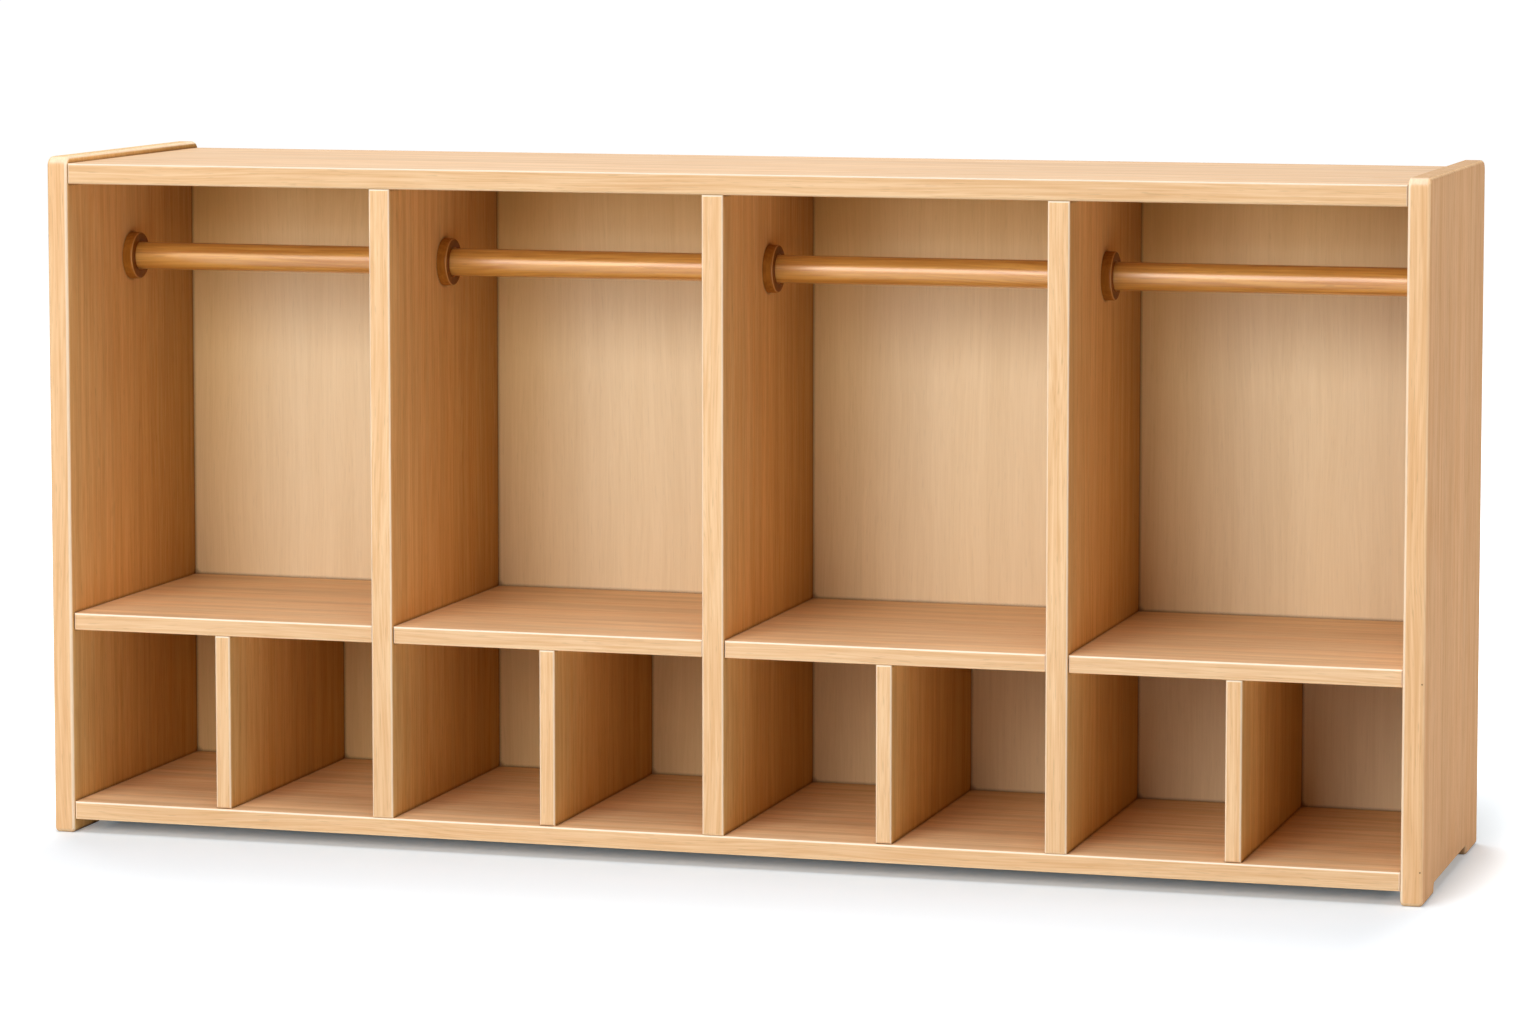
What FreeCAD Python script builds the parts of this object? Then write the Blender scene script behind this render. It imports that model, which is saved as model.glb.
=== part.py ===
"""Open children's wardrobe with four bays, built as a parametric document.

Two side panels carry a top, a bottom and a back panel. Three dividers make four bays, and each bay has a
hanging rod in two cups, a shelf and a thin divider that splits the space under the shelf into two cubbies.
Panels are dowelled, the back panel sits in grooves, and screws hold the cups and the back panel.

Sizes are in millimetres. +X runs to the right, +Y to the back and +Z up, with the origin on the floor under
the middle of the cabinet.
"""
import FreeCAD, Part
import math
import os
import re
import Sketcher

# Driving sizes, each with its alias in the sheet

SIZES = {
    # the whole cabinet
    "width": (1220, "over both side panels"),
    "height": (600, "floor to the top of the side panels"),
    "depth": (300, "front to rear of the side panels"),
    # panel thicknesses
    "side_thk": (19, "side panels"),
    "divider_thk": (19, "full-height dividers"),
    "top_thk": (18, "top panel"),
    "bottom_thk": (16, "bottom panel"),
    "shelf_thk": (15, "shelves"),
    "cubby_divider_thk": (14, "dividers under the shelves"),
    "back_thk": (6, "back panel"),
    # where the panels lie
    "side_rise": (6, "side panels stand this far above the top panel"),
    "floor_gap": (12, "floor to the underside of the bottom panel"),
    "cubby_height": (153, "clear height of a cubby"),
    "front_setback": (2, "top, bottom and dividers behind the front of the side panels"),
    "shelf_setback": (3, "shelves and cubby dividers behind the front of the dividers"),
    "rear_setback": (2, "top and bottom in front of the rear of the side panels"),
    "back_inset": (12, "rear of the back panel in front of the rear of the side panels"),
    # grooves of the back panel
    "groove_depth": (6, "depth of the grooves"),
    "groove_play": (0.2, "groove wider than the back panel by this"),
    "groove_spare": (0.5, "space left beyond the edge of the back panel in its groove"),
    # outline of the side panels
    "corner_radius": (9, "upper corners of the side panels"),
    "foot_length": (60, "front and rear foot of a side panel, along the depth"),
    "arch_height": (8, "cut-out between the two feet"),
    "foot_radius": (4.4, "lower corners of the feet"),
    "arch_radius": (3, "upper corners of the cut-out"),
    "side_arris": (3.5, "rounding of the edges of the side panels"),
    "panel_arris": (2, "rounding of the front edges of the other panels"),
    # hanging rods and their cups
    "rod_dia": (24.5, "hanging rod"),
    "rod_drop": (72, "rod axis below the underside of the top panel"),
    "rod_chamfer": (1.5, "bevel on the ends of a rod"),
    "rod_play": (0.3, "gap round the rod in its cup"),
    "rod_end_play": (0.5, "gap between the end of a rod and the floor of its cup"),
    "socket_dia": (42, "outside of a cup"),
    "socket_height": (9, "cup, from the wall to its rim"),
    "socket_floor": (3, "floor of a cup"),
    "socket_round": (1.6, "rounding of the outer rim of a cup"),
    "socket_bevel": (0.8, "bevel at the mouth of a cup"),
    # screws
    "screw_dia": (3.5, "shank of every screw"),
    "screw_head_dia": (7, "head of every screw"),
    "screw_point": (2.5, "length of the point of a screw"),
    "screw_web": (3, "wood left in a divider between two facing cup screws"),
    "back_screw_head": (2.2, "height of the domed heads on the back panel"),
    "back_screw_bite": (18, "back panel screws in the wood behind the panel"),
    "back_screw_edge": (50, "outer back panel screws from the ends of a divider"),
    # dowels
    "dowel_dia": (8, "dowels of the top, bottom and dividers"),
    "small_dowel_dia": (6, "dowels of the shelves and cubby dividers"),
    "dowel_length": (30, "every dowel"),
    "dowel_bite": (9, "dowel in the face of a panel, the rest is in the end of the other one"),
    "dowel_bevel": (1, "bevel on the ends of a dowel"),
    "dowel_edge": (40, "outer dowels from the front and from the back panel"),
    "dowel_stagger": (18, "dowels at the right end of a shelf, further in than those at the left end"),
    "hole_fit": (0.1, "gap round a dowel or screw in its hole"),
    "hole_spare": (0.5, "space left beyond the end of a dowel or screw"),
}

BAYS = 4
DOWELS_PER_END = 3
SMALL_DOWELS_PER_END = 2
SCREWS_PER_DIVIDER = 3
CLOSE = 1e-6

# Places worked out from the driving sizes, as formulas

INNER_LENGTH = "(width - 2*side_thk)"
INNER_LEFT = "(side_thk - width/2)"
BAY_WIDTH = f"(({INNER_LENGTH} - {BAYS - 1}*divider_thk)/{BAYS})"
BAY_PITCH = f"({BAY_WIDTH} + divider_thk)"
SIDE_FRONT = "(-depth/2)"
PANEL_FRONT = "(front_setback - depth/2)"
SHELF_FRONT = "(front_setback + shelf_setback - depth/2)"
BACK_REAR = "(depth/2 - back_inset)"
BACK_FRONT = "(depth/2 - back_inset - back_thk)"
TOP_LOW = "(height - side_rise - top_thk)"
BOTTOM_HIGH = "(floor_gap + bottom_thk)"
SHELF_LOW = f"({BOTTOM_HIGH} + cubby_height)"
SHELF_MID = f"({SHELF_LOW} + shelf_thk/2)"
DIVIDER_HEIGHT = f"({TOP_LOW} - {BOTTOM_HIGH})"
PANEL_DEPTH = "(depth - front_setback - rear_setback)"
DIVIDER_DEPTH = f"({BACK_FRONT} - {PANEL_FRONT})"
SHELF_DEPTH = f"({BACK_FRONT} - {SHELF_FRONT})"
ROD_Y = f"(({PANEL_FRONT} + {BACK_FRONT})/2)"
ROD_Z = f"({TOP_LOW} - rod_drop)"
SOCKET_SCREW_BITE = "((divider_thk - screw_web)/2)"
DOWEL_FIRST = f"({PANEL_FRONT} + dowel_edge)"
DOWEL_SPAN = f"({DIVIDER_DEPTH} - 2*dowel_edge)"
SMALL_DOWEL_FIRST = f"({SHELF_FRONT} + dowel_edge)"
SMALL_DOWEL_SPAN = f"({SHELF_DEPTH} - 2*dowel_edge)"
DOWEL_LINES = [f"({DOWEL_FIRST} + {DOWEL_SPAN}*{i}/{DOWELS_PER_END - 1})" for i in range(DOWELS_PER_END)]
LEFT_END_LINES = [SMALL_DOWEL_FIRST, f"({SMALL_DOWEL_FIRST} + {SMALL_DOWEL_SPAN})"]
RIGHT_END_LINES = [f"({LEFT_END_LINES[0]} + dowel_stagger)", f"({LEFT_END_LINES[1]} - dowel_stagger)"]
FACE_HOLE = "(dowel_bite + hole_spare)"
END_HOLE = "(dowel_length - dowel_bite + hole_spare)"
DOWEL_HOLE = "(dowel_dia + 2*hole_fit)"
SMALL_DOWEL_HOLE = "(small_dowel_dia + 2*hole_fit)"
SCREW_HOLE = "(screw_dia + 2*hole_fit)"
BACK_SCREW_SPAN = f"({DIVIDER_HEIGHT} - 2*back_screw_edge)"
BACK_SCREW_LEVELS = [
    f"({BOTTOM_HIGH} + back_screw_edge + {BACK_SCREW_SPAN}*{i}/{SCREWS_PER_DIVIDER - 1})"
    for i in range(SCREWS_PER_DIVIDER)
]

# Direction of the sketch's two axes and of its normal, for each origin plane
PLANE_AXES = {"XY_Plane": "xyz", "XZ_Plane": "xzy", "YZ_Plane": "yzx"}

doc = FreeCAD.newDocument("wardrobe")
sheet = doc.addObject("Spreadsheet::Sheet", "Sizes")
nodes = []


def bay_left(bay):
    """X of the left wall of a bay, counted from 0."""
    return f"({INNER_LEFT} + {bay}*{BAY_PITCH})"


def bay_right(bay):
    return f"({bay_left(bay)} + {BAY_WIDTH})"


def bay_middle(bay):
    return f"({bay_left(bay)} + {BAY_WIDTH}/2)"


def fill_sheet():
    for row, (alias, (value, note)) in enumerate(SIZES.items(), start=1):
        sheet.set(f"A{row}", alias)
        sheet.set(f"B{row}", str(value))
        sheet.setAlias(f"B{row}", alias)
        sheet.set(f"C{row}", note)
    doc.recompute()


def formula(text):
    """The same formula with every alias read from the sheet."""
    return re.sub(r"[a-z_]+", lambda word: f"Sizes.{word[0]}" if word[0] in SIZES else word[0], text)


def bind(thing, path, text):
    thing.setExpression(path, formula(text))


def size(text):
    """The present value of a formula, in millimetres."""
    return float(sheet.evalExpression(formula(text)))


# Bodies, sketches and features


class Piece:
    """A body with its origin at a given place, turned about Z, and features added in its own coordinates."""

    def __init__(self, label, corner, turn=0):
        self.corner = corner
        self.turn = turn
        self.body = doc.addObject("PartDesign::Body", label)
        self.body.Label = label
        self.body.Placement.Rotation = FreeCAD.Rotation(FreeCAD.Vector(0, 0, 1), turn)
        for axis, text in zip("xyz", corner):
            bind(self.body, f"Placement.Base.{axis}", text)
        nodes.append(self.body)

    def local(self, axis, text):
        return f"({text} - {self.corner['xyz'.index(axis)]})"

    def origin(self, role):
        return next(item for item in self.body.Origin.OriginFeatures if item.Role == role)

    def sketch(self, name, plane, level="0"):
        """A sketch parallel to an origin plane, at a distance from it along the plane's normal axis."""
        sketch = self.body.newObject("Sketcher::SketchObject", name)
        sketch.AttachmentSupport = [(self.origin(plane), "")]
        sketch.MapMode = "FlatFace"
        towards = "-" if plane == "XZ_Plane" else ""
        bind(sketch, "AttachmentOffset.Base.z", f"{towards}({level})")
        return sketch

    def feature(self, kind, name, **lengths):
        feature = self.body.newObject(f"PartDesign::{kind}", name)
        for path, text in lengths.items():
            bind(feature, path, text)
        return feature

    def pad(self, sketch, length):
        """Thicken a sketch in the direction of its plane's normal axis."""
        pad = self.feature("Pad", "pad", Length=length)
        pad.Profile = sketch
        pad.Reversed = sketch.AttachmentSupport[0][0].Role == "XZ_Plane"
        doc.recompute()

    def pocket(self, sketch, depth, forward):
        """Cut a sketch into the body, forward along its plane's normal axis or back."""
        before = self.body.Shape.Volume
        pocket = self.feature("Pocket", "pocket", Length=depth)
        pocket.Profile = sketch
        pocket.Reversed = forward != (sketch.AttachmentSupport[0][0].Role == "XZ_Plane")
        doc.recompute()
        if self.body.Shape.Volume > before - CLOSE:
            raise RuntimeError(f"{sketch.Name} of {self.body.Label} cuts nothing")

    def drill(self, name, plane, level, points, diameter, depth, forward):
        """Blind or through holes at points of the cabinet, from a level of the body along the plane's normal."""
        across, along, _ = PLANE_AXES[plane]
        sketch = self.sketch(name, plane, level)
        for first, second in points:
            add_circle(sketch, self.local(across, first), self.local(along, second), diameter)
        self.pocket(sketch, depth, forward)

    def turn_profile(self, sketch, axis):
        """Turn a sketch all the way round one of its own axes."""
        turned = self.feature("Revolution", "turned")
        turned.Profile = sketch
        turned.ReferenceAxis = (sketch, [axis])
        turned.Angle = 360
        doc.recompute()
        return turned

    def dress(self, kind, amount, test):
        """Fillet or chamfer every edge whose start, middle and end pass a test."""
        base = self.body.Tip
        names = []
        for number, edge in enumerate(base.Shape.Edges, start=1):
            first, last = edge.ParameterRange
            places = [edge.valueAt(parameter) for parameter in (first, (first + last) / 2, last)]
            if test(places):
                names.append(f"Edge{number}")
        path = "Radius" if kind == "Fillet" else "Size"
        dressing = self.feature(kind, kind.lower(), **{path: amount})
        dressing.Base = (base, names)
        doc.recompute()

    def repeat(self, original, *rows):
        """Copies of a feature in rows, each given by its axis, the distance it spans and its count."""
        multi = self.body.newObject("PartDesign::MultiTransform", "copies")
        multi.Originals = [original]
        patterns = []
        for axis, span, count in rows:
            pattern = self.feature("LinearPattern", "row", Length=span)
            pattern.Direction = (self.origin(f"{axis.upper()}_Axis"), [""])
            pattern.Occurrences = count
            pattern.Reversed = self.turn == 180 and axis != "z"
            patterns.append(pattern)
        multi.Transformations = patterns
        self.body.Tip = multi
        doc.recompute()


def place_point(sketch, geometry, point, across, along):
    """Tie a point of a sketch to its distances from the sketch's origin."""
    for kind, axis_line, text in (("DistanceX", -2, across), ("DistanceY", -1, along)):
        if text == "0":
            sketch.addConstraint(Sketcher.Constraint("PointOnObject", geometry, point, axis_line))
        else:
            rule = Sketcher.Constraint(kind, -1, 1, geometry, point, size(text))
            bind(sketch, f"Constraints[{sketch.addConstraint(rule)}]", text)


def add_circle(sketch, across, along, diameter):
    centre = FreeCAD.Vector(size(across), size(along), 0)
    circle = Part.Circle(centre, FreeCAD.Vector(0, 0, 1), size(diameter) / 2)
    number = sketch.addGeometry(circle, False)
    place_point(sketch, number, 3, across, along)
    rule = Sketcher.Constraint("Diameter", number, size(diameter))
    bind(sketch, f"Constraints[{sketch.addConstraint(rule)}]", diameter)


def add_outline(sketch, corners):
    """A closed outline of straight lines through corners given as pairs of formulas."""
    places = [FreeCAD.Vector(size(across), size(along), 0) for across, along in corners]
    for start, end in zip(places, places[1:] + places[:1]):
        sketch.addGeometry(Part.LineSegment(start, end), False)
    for number, corner in enumerate(corners):
        previous = (number - 1) % len(corners)
        sketch.addConstraint(Sketcher.Constraint("Coincident", previous, 2, number, 1))
        place_point(sketch, number, 1, *corner)


def rectangle(left, low, right, high):
    return [(left, low), (right, low), (right, high), (left, high)]


# Panels


def panel(label, plane, corner, across, along, thickness):
    """A plain board: a rectangle on one of its origin planes, thickened."""
    board = Piece(label, corner)
    outline = board.sketch("outline", plane)
    add_outline(outline, rectangle("0", "0", across, along))
    board.pad(outline, thickness)
    return board


def all_at(axis, *levels):
    """Test for an edge that lies at one of some levels of an axis."""
    wanted = [size(level) for level in levels]
    return lambda places: any(all(abs(getattr(at, axis) - level) < CLOSE for at in places) for level in wanted)


def ease_ends(board, *levels):
    """Round the four edges of a board's front end, or of its front and rear ends."""
    board.dress("Fillet", "panel_arris", all_at("y", *levels))


def across_thickness(level):
    """Test for the corner edges of a side panel, which run through its thickness at one height."""
    at_level = all_at("z", level)
    return lambda places: at_level(places) and abs(places[0].y - places[-1].y) < CLOSE


def side_panel(label, left, on_left):
    """A full-height side with two feet, rounded all round, grooved and drilled on its inner face."""
    piece = Piece(label, (left, SIDE_FRONT, "0"))
    outline = piece.sketch("outline", "YZ_Plane")
    rear_foot = "(depth - foot_length)"
    add_outline(outline, [
        ("0", "0"), ("foot_length", "0"), ("foot_length", "arch_height"), (rear_foot, "arch_height"),
        (rear_foot, "0"), ("depth", "0"), ("depth", "height"), ("0", "height"),
    ])
    piece.pad(outline, "side_thk")

    for level, radius in (
        ("height", "corner_radius"),
        ("0", "min(foot_radius; 0.55*arch_height)"),
        ("arch_height", "min(arch_radius; 0.4*arch_height)"),
    ):
        piece.dress("Fillet", radius, across_thickness(level))
    piece.dress("Fillet", "min(side_arris; 0.8*foot_radius; 0.44*arch_height)", all_at("x", "0", "side_thk"))

    inner = "side_thk" if on_left else "0"
    forward = not on_left
    groove = piece.sketch("groove", "YZ_Plane", inner)
    add_outline(groove, rectangle(
        piece.local("y", BACK_FRONT), f"({BOTTOM_HIGH} - groove_depth)",
        piece.local("y", f"({BACK_REAR} + groove_play)"), f"({TOP_LOW} + groove_depth)",
    ))
    piece.pocket(groove, "groove_depth", forward)
    levels = (f"({TOP_LOW} + top_thk/2)", "(floor_gap + bottom_thk/2)")
    dowels = [(line, level) for level in levels for line in DOWEL_LINES]
    piece.drill("dowel_holes", "YZ_Plane", inner, dowels, DOWEL_HOLE, FACE_HOLE, forward)
    shelf_lines = LEFT_END_LINES if on_left else RIGHT_END_LINES
    shelf_dowels = [(line, SHELF_MID) for line in shelf_lines]
    piece.drill("shelf_holes", "YZ_Plane", inner, shelf_dowels, SMALL_DOWEL_HOLE, FACE_HOLE, forward)
    drill_for_socket(piece, inner, forward)


def drill_for_socket(piece, face, forward):
    """Hole for the screw of a rod cup, in the face that the cup stands on."""
    depth = f"({SOCKET_SCREW_BITE} + hole_spare)"
    piece.drill("socket_hole", "YZ_Plane", face, [(ROD_Y, ROD_Z)], SCREW_HOLE, depth, forward)


def level_panel(label, low, thickness, inner_level, inner_forward):
    """The top or the bottom: dowelled at its ends, grooved and drilled on the face towards the bays."""
    board = panel(label, "XY_Plane", (INNER_LEFT, PANEL_FRONT, low), INNER_LENGTH, PANEL_DEPTH, thickness)
    ease_ends(board, "0", PANEL_DEPTH)
    groove = board.sketch("groove", "XY_Plane", inner_level)
    groove_front = board.local("y", BACK_FRONT)
    groove_rear = board.local("y", f"({BACK_REAR} + groove_play)")
    add_outline(groove, rectangle("0", groove_front, INNER_LENGTH, groove_rear))
    board.pocket(groove, "groove_depth", inner_forward)
    middle = f"({low} + {thickness}/2)"
    ends = [(line, middle) for line in DOWEL_LINES]
    board.drill("left_end_holes", "YZ_Plane", "0", ends, DOWEL_HOLE, END_HOLE, True)
    board.drill("right_end_holes", "YZ_Plane", INNER_LENGTH, ends, DOWEL_HOLE, END_HOLE, False)
    dividers = [(f"({bay_right(bay)} + divider_thk/2)", line) for bay in range(BAYS - 1) for line in DOWEL_LINES]
    board.drill("divider_holes", "XY_Plane", inner_level, dividers, DOWEL_HOLE, FACE_HOLE, inner_forward)
    return board


def top_panel():
    level_panel("top_panel", TOP_LOW, "top_thk", "0", True)


def bottom_panel():
    board = level_panel("bottom_panel", "floor_gap", "bottom_thk", "bottom_thk", False)
    cubbies = [(bay_middle(bay), line) for bay in range(BAYS) for line in LEFT_END_LINES]
    board.drill("cubby_holes", "XY_Plane", "bottom_thk", cubbies, SMALL_DOWEL_HOLE, FACE_HOLE, False)


def back_panel():
    """A thin board in the grooves of the sides, top and bottom, with holes for its screws."""
    reach = "(groove_depth - groove_spare)"
    corner = (f"({INNER_LEFT} - {reach})", BACK_FRONT, f"({BOTTOM_HIGH} - {reach})")
    across = f"({INNER_LENGTH} + 2*{reach})"
    along = f"({DIVIDER_HEIGHT} + 2*{reach})"
    board = panel("back_panel", "XZ_Plane", corner, across, along, "back_thk")
    holes = [
        (f"({bay_right(bay)} + divider_thk/2)", level) for bay in range(BAYS - 1) for level in BACK_SCREW_LEVELS
    ]
    holes += [(bay_middle(bay), SHELF_MID) for bay in range(BAYS)]
    board.drill("screw_holes", "XZ_Plane", "0", holes, SCREW_HOLE, "back_thk", True)


def divider(bay):
    """The full-height wall at the right of a bay."""
    left = bay_right(bay)
    corner = (left, PANEL_FRONT, BOTTOM_HIGH)
    board = panel(f"divider_{bay + 1}", "YZ_Plane", corner, DIVIDER_DEPTH, DIVIDER_HEIGHT, "divider_thk")
    ease_ends(board, "0")
    middle = f"({left} + divider_thk/2)"
    ends = [(middle, line) for line in DOWEL_LINES]
    board.drill("low_holes", "XY_Plane", "0", ends, DOWEL_HOLE, END_HOLE, True)
    board.drill("high_holes", "XY_Plane", DIVIDER_HEIGHT, ends, DOWEL_HOLE, END_HOLE, False)
    for face, lines, forward in (("0", RIGHT_END_LINES, True), ("divider_thk", LEFT_END_LINES, False)):
        shelf = [(line, SHELF_MID) for line in lines]
        board.drill("shelf_holes", "YZ_Plane", face, shelf, SMALL_DOWEL_HOLE, FACE_HOLE, forward)
        drill_for_socket(board, face, forward)
    screws = [(middle, level) for level in BACK_SCREW_LEVELS]
    drill_for_back_screws(board, DIVIDER_DEPTH, screws)


def drill_for_back_screws(board, rear, points):
    board.drill("back_holes", "XZ_Plane", rear, points, SCREW_HOLE, "(back_screw_bite + hole_spare)", False)


def shelf(bay):
    left = bay_left(bay)
    corner = (left, SHELF_FRONT, SHELF_LOW)
    board = panel(f"shelf_{bay + 1}", "XY_Plane", corner, BAY_WIDTH, SHELF_DEPTH, "shelf_thk")
    ease_ends(board, "0")
    for end, lines, forward in (("0", LEFT_END_LINES, True), (BAY_WIDTH, RIGHT_END_LINES, False)):
        dowels = [(line, SHELF_MID) for line in lines]
        board.drill("end_holes", "YZ_Plane", end, dowels, SMALL_DOWEL_HOLE, END_HOLE, forward)
    cubby = [(bay_middle(bay), line) for line in LEFT_END_LINES]
    board.drill("cubby_holes", "XY_Plane", "0", cubby, SMALL_DOWEL_HOLE, FACE_HOLE, True)
    drill_for_back_screws(board, SHELF_DEPTH, [(bay_middle(bay), SHELF_MID)])


def cubby_divider(bay):
    """The thin wall under a shelf, in the middle of its bay."""
    corner = (f"({bay_middle(bay)} - cubby_divider_thk/2)", SHELF_FRONT, BOTTOM_HIGH)
    label = f"cubby_divider_{bay + 1}"
    board = panel(label, "YZ_Plane", corner, SHELF_DEPTH, "cubby_height", "cubby_divider_thk")
    ease_ends(board, "0")
    dowels = [(bay_middle(bay), line) for line in LEFT_END_LINES]
    board.drill("low_holes", "XY_Plane", "0", dowels, SMALL_DOWEL_HOLE, END_HOLE, True)
    board.drill("high_holes", "XY_Plane", "cubby_height", dowels, SMALL_DOWEL_HOLE, END_HOLE, False)


# Rods and cups


def turned_pin(piece, plane, diameter, length, bevel):
    """A round pin with bevelled ends, along the first axis of its plane, or along Z on the XZ plane."""
    radius = f"({diameter}/2)"
    outline = [
        ("0", "0"), (length, "0"), (length, f"({radius} - {bevel})"), (f"({length} - {bevel})", radius),
        (bevel, radius), ("0", f"({radius} - {bevel})"),
    ]
    upright = plane == "XZ_Plane"
    profile = piece.sketch("profile", plane)
    add_outline(profile, [corner[::-1] for corner in outline] if upright else outline)
    return piece.turn_profile(profile, "V_Axis" if upright else "H_Axis")


def hanging_rod(bay):
    inset = "(socket_floor + rod_end_play)"
    rod = Piece(f"hanging_rod_{bay + 1}", (f"({bay_left(bay)} + {inset})", ROD_Y, ROD_Z))
    turned_pin(rod, "XY_Plane", "rod_dia", f"({BAY_WIDTH} - 2*{inset})", "rod_chamfer")


def rod_socket(bay, on_left):
    """A turned cup on the wall of a bay: a bore for the rod end, and a countersunk hole in its floor."""
    side = "left" if on_left else "right"
    wall = bay_left(bay) if on_left else bay_right(bay)
    cup = Piece(f"rod_socket_{side}_{bay + 1}", (wall, ROD_Y, ROD_Z), 0 if on_left else 180)
    outside = "(socket_dia/2)"
    bore = "(rod_dia/2 + rod_play)"
    hole = f"({SCREW_HOLE}/2)"
    sink = "(screw_head_dia/2 + hole_fit)"
    profile = cup.sketch("profile", "XY_Plane")
    add_outline(profile, [
        ("0", hole), ("0", outside), ("socket_height", outside), ("socket_height", bore),
        ("socket_floor", bore), ("socket_floor", sink), (f"(socket_floor - {sink} + {hole})", hole),
    ])
    cup.turn_profile(profile, "H_Axis")
    at_rim = all_at("x", "socket_height")

    def rim_of(radius):
        reach = size(radius)
        return lambda places: at_rim(places) and all(abs(math.hypot(at.y, at.z) - reach) < CLOSE for at in places)

    cup.dress("Fillet", "socket_round", rim_of(outside))
    cup.dress("Chamfer", "socket_bevel", rim_of(bore))


# Fasteners


def dowel_group(label, plane, corner, diameter, *rows):
    group = Piece(label, corner)
    pin = turned_pin(group, plane, diameter, "dowel_length", "dowel_bevel")
    group.repeat(pin, *rows)


def dowels():
    """Every dowel, in one group for each sort of joint."""
    bays_span = f"({BAYS - 1}*{BAY_PITCH})"
    dividers_span = f"({BAYS - 2}*{BAY_PITCH})"
    into_left = f"({INNER_LEFT} - dowel_bite)"
    end_to_end = f"({INNER_LENGTH} + 2*dowel_bite - dowel_length)"
    deep_row = ("y", DOWEL_SPAN, DOWELS_PER_END)
    for name, level in (("top_panel", f"({TOP_LOW} + top_thk/2)"), ("bottom_panel", "(floor_gap + bottom_thk/2)")):
        corner = (into_left, DOWEL_FIRST, level)
        dowel_group(f"{name}_dowels", "XY_Plane", corner, "dowel_dia", ("x", end_to_end, 2), deep_row)

    into_bottom = f"({BOTTOM_HIGH} - dowel_bite)"
    divider_ends = f"({DIVIDER_HEIGHT} + 2*dowel_bite - dowel_length)"
    corner = (f"({bay_right(0)} + divider_thk/2)", DOWEL_FIRST, into_bottom)
    rows = (("x", dividers_span, BAYS - 1), deep_row, ("z", divider_ends, 2))
    dowel_group("divider_dowels", "XZ_Plane", corner, "dowel_dia", *rows)

    small_row = ("y", SMALL_DOWEL_SPAN, SMALL_DOWELS_PER_END)
    corner = (into_left, LEFT_END_LINES[0], SHELF_MID)
    rows = (("x", bays_span, BAYS), small_row)
    dowel_group("shelf_left_dowels", "XY_Plane", corner, "small_dowel_dia", *rows)
    corner = (f"({bay_right(0)} + dowel_bite - dowel_length)", RIGHT_END_LINES[0], SHELF_MID)
    inner_row = ("y", f"({SMALL_DOWEL_SPAN} - 2*dowel_stagger)", SMALL_DOWELS_PER_END)
    rows = (("x", bays_span, BAYS), inner_row)
    dowel_group("shelf_right_dowels", "XY_Plane", corner, "small_dowel_dia", *rows)

    cubby_ends = "(cubby_height + 2*dowel_bite - dowel_length)"
    corner = (bay_middle(0), LEFT_END_LINES[0], into_bottom)
    rows = (("x", bays_span, BAYS), small_row, ("z", cubby_ends, 2))
    dowel_group("cubby_divider_dowels", "XZ_Plane", corner, "small_dowel_dia", *rows)


def socket_screws(on_left):
    """Countersunk screws, flush with the floor of the cups, in the walls on one side of the bays."""
    side = "left" if on_left else "right"
    length = f"({SOCKET_SCREW_BITE} + socket_floor)"
    tip = f"({bay_left(0)} - {SOCKET_SCREW_BITE})" if on_left else f"({bay_right(0)} + {SOCKET_SCREW_BITE})"
    group = Piece(f"socket_screws_{side}", (tip, ROD_Y, ROD_Z), 0 if on_left else 180)
    shank = "(screw_dia/2)"
    head = "(screw_head_dia/2)"
    profile = group.sketch("profile", "XY_Plane")
    add_outline(profile, [
        ("0", "0"), (length, "0"), (length, head), (f"({length} - {head} + {shank})", shank), ("screw_point", shank),
    ])
    screw = group.turn_profile(profile, "H_Axis")
    group.repeat(screw, ("x", f"({BAYS - 1}*{BAY_PITCH})", BAYS))


def back_screws(label, corner, *rows):
    """Dome-headed screws through the back panel, seen from behind."""
    group = Piece(label, corner)
    length = "(back_screw_bite + back_thk)"
    head = "(screw_head_dia/2)"
    shank = "(screw_dia/2)"
    crown = "back_screw_head"
    profile = group.sketch("profile", "XY_Plane")
    add_outline(profile, [
        ("0", "0"), (shank, "screw_point"), (shank, length), (head, length),
        (head, f"({length} + {crown}/3)"), (f"({head}*0.6)", f"({length} + {crown})"), ("0", f"({length} + {crown})"),
    ])
    group.repeat(group.turn_profile(profile, "V_Axis"), *rows)


def back_panel_screws():
    tip = f"({BACK_FRONT} - back_screw_bite)"
    dividers = (f"({bay_right(0)} + divider_thk/2)", tip, BACK_SCREW_LEVELS[0])
    across = ("x", f"({BAYS - 2}*{BAY_PITCH})", BAYS - 1)
    upward = ("z", BACK_SCREW_SPAN, SCREWS_PER_DIVIDER)
    back_screws("back_screws_dividers", dividers, across, upward)
    shelves = (bay_middle(0), tip, SHELF_MID)
    back_screws("back_screws_shelves", shelves, ("x", f"({BAYS - 1}*{BAY_PITCH})", BAYS))


# The whole cabinet


def build():
    fill_sheet()
    side_panel("left_side_panel", "(-width/2)", True)
    side_panel("right_side_panel", "(width/2 - side_thk)", False)
    top_panel()
    bottom_panel()
    back_panel()
    for bay in range(BAYS - 1):
        divider(bay)
    for bay in range(BAYS):
        shelf(bay)
        cubby_divider(bay)
        hanging_rod(bay)
        rod_socket(bay, True)
        rod_socket(bay, False)
    dowels()
    socket_screws(True)
    socket_screws(False)
    back_panel_screws()
    doc.recompute()


def check():
    """Stop if any object of the document failed or any shape is unsound."""
    for item in doc.Objects:
        if "Invalid" in item.State or "Error" in item.State:
            raise RuntimeError(f"{item.Label}: {item.State}")
    for node in nodes:
        if node.Shape.isNull() or not node.Shape.isValid():
            raise RuntimeError(f"{node.Label} has no sound shape")


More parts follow.
